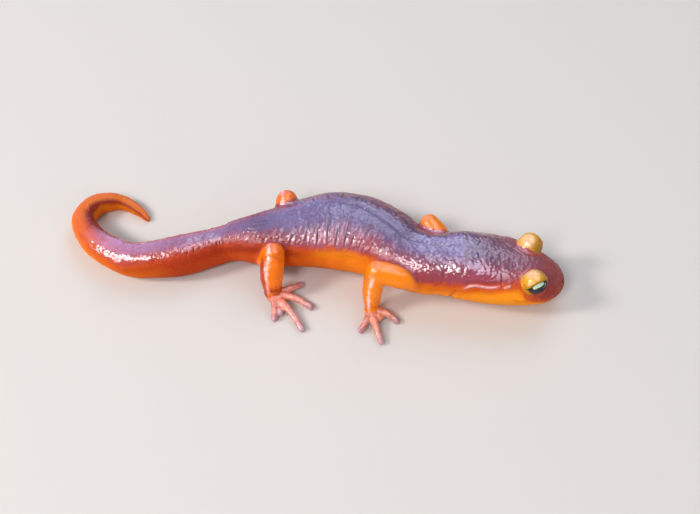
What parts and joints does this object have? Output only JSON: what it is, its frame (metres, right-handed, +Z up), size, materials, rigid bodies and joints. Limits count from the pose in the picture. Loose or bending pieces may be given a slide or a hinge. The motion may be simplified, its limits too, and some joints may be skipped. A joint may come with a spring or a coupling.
{
  "type": "ensatina salamander model",
  "caption": "Life-size still model of a stout orange and purple-brown lungless salamander with bulging eyes, grooved flanks, spread feet and a tail hooked to one side.",
  "frame": {"origin": "on the floor, in the flat on which the belly rests, under the middle of the trunk", "axes": "+X towards the snout, +Y to the animal's left, +Z up from the floor"},
  "size_m": [0.0967, 0.036, 0.0118],
  "materials": {
    "back": "moist, glossy purple-brown skin",
    "flank": "moist, glossy orange-red skin",
    "limb": "moist, glossy bright orange skin",
    "lid": "moist, glossy yellow-orange skin",
    "jaw": "moist, glossy orange-yellow skin",
    "eye": "glossy black, wet"
  },
  "bodies": {
    "root": {"eyeball_left": "eye", "eyeball_right": "eye", "eyelids_left": "lid", "eyelids_right": "lid", "front_left_forearm": "limb", "front_left_hand": "limb", "front_left_upper_arm": "limb", "front_right_forearm": "limb", "front_right_hand": "limb", "front_right_upper_arm": "limb", "head": "back", "hind_left_foot": "limb", "hind_left_shin": "limb", "hind_left_thigh": "limb", "hind_right_foot": "limb", "hind_right_shin": "limb", "hind_right_thigh": "limb", "hips": "flank", "lower_jaw": "jaw", "neck": "back", "shoulders": "flank", "tail_base": "flank", "tail_bend": "flank", "tail_hook": "flank", "tail_middle": "flank", "tail_tip": "flank", "trunk": "flank"}
  },
  "joints": []
}
